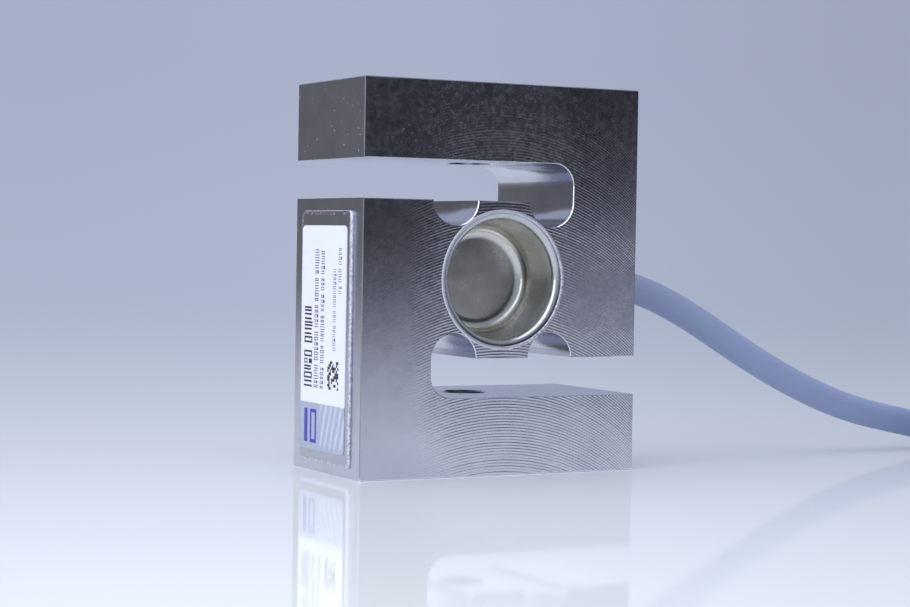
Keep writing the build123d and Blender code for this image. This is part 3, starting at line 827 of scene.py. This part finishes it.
def ink_row(y_from, y_to, z_from, z_to, width, gap, word, rim):
    """A row of marks up the label, with sizes in millimetres.

    A word has from its first to its second number of marks, and a wider gap follows it.
    """
    blocks = []
    z = z_from
    letters = chance.randint(*word)
    while z + width <= z_to:
        size = width * chance.choice((0.75, 1.0, 1.0))
        tall = chance.random() < 0.3
        inner = y_to if tall else y_to + 0.12 * (y_from - y_to)
        form = chance.choice(("frame", "pair", "stack"))
        blocks += ink_mark(form, y_from, inner, z, z + size, rim)
        z += size + gap
        letters -= 1
        if letters == 0:
            z += 0.9 * width
            letters = chance.randint(*word)
    return blocks


def ink_piece(name, blocks, material):
    """Joins blocks of ink to one piece."""
    alone(blocks[0])
    for block in blocks:
        block.select_set(True)
    bpy.ops.object.join()
    return finish_piece(blocks[0], name, material)


def ink(name, dark, light):
    """Printed ink: matt, a little uneven, and thinner in places."""
    material, tree, surface = new_material(name, Roughness=0.5)
    place = position(tree)
    cover = noise(tree, place, 2.5, 3.0, roughness=0.7)
    paint(tree, surface, Base_Color=blend(tree, remap(tree, cover, 0.35, 0.75), dark, light))
    bump(tree, surface, cover, 0.002 * MM)
    return material


black_ink = ink("black_ink", (0.008, 0.008, 0.02), (0.03, 0.03, 0.07))
fine_ink = ink("fine_ink", (0.10, 0.10, 0.19), (0.22, 0.22, 0.34))
blue_ink = ink("blue_ink", (0.035, 0.035, 0.34), (0.07, 0.07, 0.48))

bold_row = ink_row(7.5, 4.45, 13.7, 28.2, 1.05, 0.30, (5, 6), 0.30)
ink_piece("label_bold_print", bold_row, black_ink)
print_rows = ink_row(3.65, 2.1, 13.7, 36.7, 0.56, 0.28, (4, 7), 0.14)
print_rows += ink_row(1.25, -0.1, 13.7, 36.7, 0.52, 0.28, (3, 6), 0.13)
ink_piece("label_print", print_rows, ink("print_ink", (0.03, 0.03, 0.08), (0.09, 0.09, 0.17)))
small_rows = ink_row(-3.4, -4.5, 20.0, 33.3, 0.48, 0.26, (3, 9), 0.11)
small_rows += ink_row(-5.3, -6.5, 29.2, 37.0, 0.48, 0.3, (2, 4), 0.11)
ink_piece("label_fine_print", small_rows, fine_ink)

code_side, code_cells = 4.6, 10  # millimetres, and cells to a side
code_y, code_z = -1.6, 13.7  # the code's corner on the label
cell = code_side / code_cells
dot_share = 0.96  # of a cell, so that a thin line parts the dots
dot_chance = 0.55
dots = [
    ink_block(
        code_y - cell * row,
        code_y - cell * (row + dot_share),
        code_z + cell * column,
        code_z + cell * (column + dot_share),
    )
    for row in range(code_cells - 1)
    for column in range(code_cells)
    if chance.random() < dot_chance
]
ink_piece("label_dot_pattern", dots, black_ink)
marks = [ink_block(7.1, 5.9, 4.6, 10.1), ink_block(4.9, 2.5, 4.6, 10.1, 0.55)]
ink_piece("label_blue_mark", marks, blue_ink)

# %% [markdown]
# Both legs have an M8 thread. The CAD holes have the radius of the thread's groove, so the
# ridge is added here: a triangle is carried round and up by the screw modifier, one pitch a
# turn, and its two open ends are closed.

# %% Threads
thread_pitch = 1.25 * MM
thread_groove = 4.02 * MM
thread_crest = 3.35 * MM
thread_turns = 9
ridge_half_width = 0.58 * MM  # where the ridge meets the groove
ridge_blunting = 0.05 * MM
leg_height = 12.7 * MM

material, tree, surface = new_material("tapped_steel", Metallic=1.0, Roughness=0.3)
place = position(tree)
cut_marks = noise(tree, place, 3.0, 2.0, stretch=(1, 1, 4))
paint(tree, surface, Base_Color=blend(tree, cut_marks, (0.42, 0.42, 0.46), (0.60, 0.61, 0.66)))
bump(tree, surface, cut_marks, 0.01 * MM)
for name, foot in (("lower_thread", 0.0), ("upper_thread", block_high.z - leg_height)):
    first_z = foot + (leg_height - thread_turns * thread_pitch) / 2
    bpy.ops.mesh.primitive_circle_add(vertices=3, radius=1, location=(0, 0, 0))
    ridge = bpy.context.object
    edit()
    shape = bmesh.from_edit_mesh(ridge.data)
    shape.verts.ensure_lookup_table()
    sides = (ridge_half_width, 0.0, -ridge_half_width)
    reaches = (thread_groove, thread_crest, thread_groove)
    for vertex, reach, side in zip(shape.verts, reaches, sides):
        vertex.co = Vector((reach, 0, first_z + side))
    bmesh.update_edit_mesh(ridge.data)
    bpy.ops.mesh.bevel(affect="VERTICES", offset=ridge_blunting, segments=1)
    done_editing()
    screw = ridge.modifiers.new("thread", "SCREW")
    screw.axis = "Z"
    screw.screw_offset = thread_pitch
    screw.iterations = thread_turns
    screw.steps = 40
    screw.render_steps = 40
    screw.use_merge_vertices = False
    bpy.ops.object.modifier_apply(modifier="thread")
    edit()
    bpy.ops.mesh.fill_holes(sides=8)
    done_editing()
    finish_piece(ridge, name, material, 35)

# %% [markdown]
# The pieces inside and at the coil are CAD pieces whose forms are right, so they only need
# their finishes. One recipe serves most of them: two close colours mixed by smooth noise, a
# gloss of their own and a fine relief.

# %% Finishes of the small pieces
def plain_finish(name, dark, light, patch, depth, stretch=(1, 1, 1), **shader):
    """A finish of two close colours, with so many patches to the millimetre."""
    material, tree, surface = new_material(name, **shader)
    place = position(tree)
    cloud = noise(tree, place, patch, 3.0, stretch)
    fine = noise(tree, place, 4 * patch, 3.0, stretch, roughness=0.65)
    paint(tree, surface, Base_Color=blend(tree, cloud, dark, light))
    bump(tree, surface, total(tree, product(tree, cloud, 0.4), fine), depth * MM)
    return material


rubber = {"Roughness": 0.75}
satin = {"Roughness": 0.42}
plated = {"Metallic": 1.0, "Roughness": 0.25}
tie_names = ["coil_tie_1", "coil_tie_2"]
sleeve_names = ["cable_end_sleeve"]
finishes = {
    "pad_rubber": ((0.20, 0.20, 0.20), (0.29, 0.29, 0.30), 0.8, 0.03, rubber, ["board_pad"]),
    "seal_rubber": ((0.03, 0.03, 0.03), (0.06, 0.06, 0.06), 0.9, 0.02, rubber, ["gland_seal"]),
    "copper_wire": ((0.62, 0.33, 0.20), (0.78, 0.46, 0.30), 1.5, 0.005, plated, ["bridge_wires"]),
    "tie_plastic": ((0.02, 0.02, 0.022), (0.035, 0.035, 0.04), 0.5, 0.012, satin, tie_names),
    "shrink_sleeve": ((0.02, 0.02, 0.025), (0.045, 0.045, 0.05), 0.6, 0.03, satin, sleeve_names),
}
for name, (dark, light, patch, depth, shader, dressed) in finishes.items():
    material = plain_finish(name, dark, light, patch, depth, **shader)
    for node in dressed:
        dress(node, material)

insulation = {
    "red": ((0.50, 0.03, 0.03), (0.62, 0.06, 0.05)),
    "black": ((0.02, 0.02, 0.02), (0.05, 0.05, 0.05)),
    "green": ((0.03, 0.28, 0.09), (0.06, 0.37, 0.13)),
    "white": ((0.76, 0.76, 0.73), (0.86, 0.86, 0.84)),
    "shield": ((0.66, 0.55, 0.07), (0.78, 0.67, 0.12)),
}
for conductor, (dark, light) in insulation.items():
    material = plain_finish(f"{conductor}_insulation", dark, light, 0.7, 0.01, **satin)
    for name in (f"{conductor}_core", f"{conductor}_lead"):
        if name in nodes:  # the shield has no core of its own
            dress(name, material)

turned = {"stretch": (3.0, 0.3, 0.3), "Metallic": 1.0, "Roughness": 0.22}
material = plain_finish("gland_metal", (0.58, 0.58, 0.60), (0.72, 0.72, 0.74), 1.2, 0.01, **turned)
for name in ("gland_bush", "gland_washer"):
    dress(name, material)
material = plain_finish("tinned_copper", (0.66, 0.65, 0.62), (0.80, 0.79, 0.77), 1.5, 0.01, **plated)
for name in ["crimp_sleeve"] + [f"{conductor}_ferrule" for conductor in insulation]:
    dress(name, material)
print("finishes", len(finishes) + len(insulation) + 2)

# %% [markdown]
# The board is green lacquer over glass weave. Its chips have dark bodies and soldered caps:
# the chips stand in rows of one pitch, so a chip's cap is where the height is far from the
# middle of its row. A gauge is amber film under thin foil, and the foil lies nearer the
# bore's axis, so the distance from that axis can tell the two apart. The limit used here is
# wider than the bore, so the whole gauge has the foil's finish. At 10.077 mm, just inside
# the film, the amber would show beside the foil.

# %% Board, chips and gauges
material, tree, surface = new_material("circuit_board", Roughness=0.35)
place = position(tree)
_, y, z = split(tree, place)
threads = [calc(tree, "SINE", product(tree, way, 12.0)) for way in (y, z)]
weave = product(tree, *threads)
cloud = noise(tree, place, 0.6, 2.0)
paint(tree, surface, Base_Color=blend(tree, cloud, (0.03, 0.20, 0.07), (0.06, 0.29, 0.12)))
bump(tree, surface, total(tree, product(tree, weave, 0.2), cloud), 0.008 * MM)
dress("compensation_board", material)

chip_names = [f"{use}_resistor" for use in ("zero_trim", "zero_drift", "span_trim")]
chip_names += [f"{use}_resistor" for use in ("span_drift", "input_trim", "output_trim")]
chip_low, chip_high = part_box(chip_names[0])
row_pitch = 4.6  # millimetres
cap_from = 1.1  # from the middle of a chip to its soldered cap
material, tree, surface = new_material("chip_and_solder")
place = position(tree)
from_row = calc(tree, "SUBTRACT", split(tree, place)[2], (chip_low.z + chip_high.z) / 2 / MM)
cap = calc(tree, "GREATER_THAN", calc(tree, "PINGPONG", from_row, row_pitch / 2), cap_from)
cloud = noise(tree, place, 3.0, 3.0)
body_colour = blend(tree, cloud, (0.02, 0.02, 0.022), (0.05, 0.05, 0.055))
solder_colour = blend(tree, cloud, (0.58, 0.58, 0.60), (0.74, 0.74, 0.76))
paint(
    tree,
    surface,
    Base_Color=blend(tree, cap, body_colour, solder_colour),
    Metallic=cap,
    Roughness=remap(tree, cap, 0, 1, 0.6, 0.28),
)
bump(tree, surface, cloud, 0.02 * MM)
for name in chip_names:
    dress(name, material)

foil_limit = 12.108  # millimetres
material, tree, surface = new_material("gauge_film_and_foil")
place = position(tree)
_, _, radius = around_bore(tree, place)
foil = calc(tree, "LESS_THAN", radius, foil_limit)
cloud = noise(tree, place, 2.0, 3.0)
film_colour = blend(tree, cloud, (0.55, 0.30, 0.06), (0.72, 0.44, 0.12))
foil_colour = blend(tree, cloud, (0.55, 0.50, 0.44), (0.70, 0.64, 0.56))
paint(
    tree,
    surface,
    Base_Color=blend(tree, foil, film_colour, foil_colour),
    Metallic=foil,
    Roughness=remap(tree, foil, 0, 1, 0.3, 0.35),
)
bump(tree, surface, cloud, 0.004 * MM)
for level in ("upper", "lower"):
    for name in (f"gauge_{level}_right", f"gauge_{level}_left", f"{level}_terminals"):
        dress(name, material)
print("gauge film and foil", len(tree.nodes), "nodes")

# %% [markdown]
# The cable is one smooth line: out of the gland, down to the table, past the edge of the
# picture, and round and round in the coil that holds the rest of its three metres. Its first
# points are those of the model's own route, and a loop lays the turns.

# %% Cable route
cable_radius = 2.55 * MM
pitch = 2 * cable_radius
route = [
    Vector((right_x - 8.9 * MM, 0, bore_height)),
    Vector((right_x + 0.1 * MM, 0, bore_height)),
    Vector((right_x + 9.6 * MM, 0, 29.85 * MM)),
    Vector((right_x + 19.6 * MM, 0, 25.43 * MM)),
    Vector((right_x + 30.6 * MM, 0, 19.04 * MM)),
    Vector((right_x + 42.6 * MM, 0, 12.89 * MM)),
    Vector((right_x + 55.6 * MM, 0, 7.89 * MM)),
    Vector((right_x + 68.6 * MM, 0, 5.24 * MM)),
]
tie_thickness = 1.0 * MM
columns, levels = 4, 5
mean_radius = 26.75 * MM
entry_turn, climb_turn, last_turn = 30.0, 120.0, 72.0  # degrees
outer_turn = mean_radius + (columns - 1) / 2 * pitch
inner_turn = mean_radius - (columns - 1) / 2 * pitch
floor_height = tie_thickness + cable_radius
arrival = (route[-1] - route[-2]).normalized()
entry = radians(entry_turn)
joining = Vector((cos(entry), sin(entry), 0))
reach = (route[-1].z - floor_height) / -arrival.z
entry_point = route[-1] + (arrival + joining) * reach
coil_centre = entry_point + Vector((sin(entry), -cos(entry), 0)) * outer_turn
coil_centre.z = 0
step = 15.0
spread = 1 / cos(radians(step / 2))  # control points stand this far outside the circle


def on_coil(turned, radius, height):
    """A control point at that many degrees of turn after the entry."""
    angle = radians(90 + entry_turn - turned)
    out = Vector((cos(angle), sin(angle), 0)) * radius * spread
    return coil_centre + out + Vector((0, 0, height))


points = list(route)
points.append(route[-1] + arrival * reach)
turned = step
level_turn = 360.0 * (columns - 1)
whole_turn = levels * (level_turn + climb_turn) + last_turn
while turned <= whole_turn + 0.1:
    level, in_level = divmod(turned, level_turn + climb_turn)
    shift = min(in_level / level_turn, 1.0)
    inward = level % 2 == 0
    radius = outer_turn - (outer_turn - inner_turn) * (shift if inward else 1 - shift)
    climb = max(in_level - level_turn, 0) / climb_turn
    height = floor_height + (level + climb * climb * (3 - 2 * climb)) * pitch
    if level == levels:
        radius = inner_turn + pitch * in_level / 360
    points.append(on_coil(turned, radius, height))
    turned += step
print("cable control points", len(points))

# %% Cable
bpy.ops.object.select_all(action="DESELECT")
line = bpy.data.curves.new("cable_line", "CURVE")
line.dimensions = "3D"
spline = line.splines.new("NURBS")
spline.points.add(len(points) - 1)
for point, place in zip(spline.points, points):
    point.co = (*place, 1)
spline.order_u = 3
spline.use_endpoint_u = True
spline.resolution_u = 4
line.bevel_depth = cable_radius
line.bevel_resolution = 5
line.use_fill_caps = True
cable = bpy.data.objects.new("cable_line", line)
bpy.context.scene.collection.objects.link(cable)

material, tree, surface = new_material("cable_jacket", Roughness=0.55)
place = position(tree)
cloud = noise(tree, place, 0.15, 3.0)
skin = noise(tree, place, 5.0, 3.0)
paint(tree, surface, Base_Color=blend(tree, cloud, (0.235, 0.285, 0.46), (0.275, 0.325, 0.50)))
bump(tree, surface, skin, 0.01 * MM)
line.materials.append(material)
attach(cable, "root")
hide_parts("cable", "cable_coil")
end_nodes = tie_names + sleeve_names
for conductor in insulation:
    end_nodes += [f"{conductor}_lead", f"{conductor}_ferrule"]
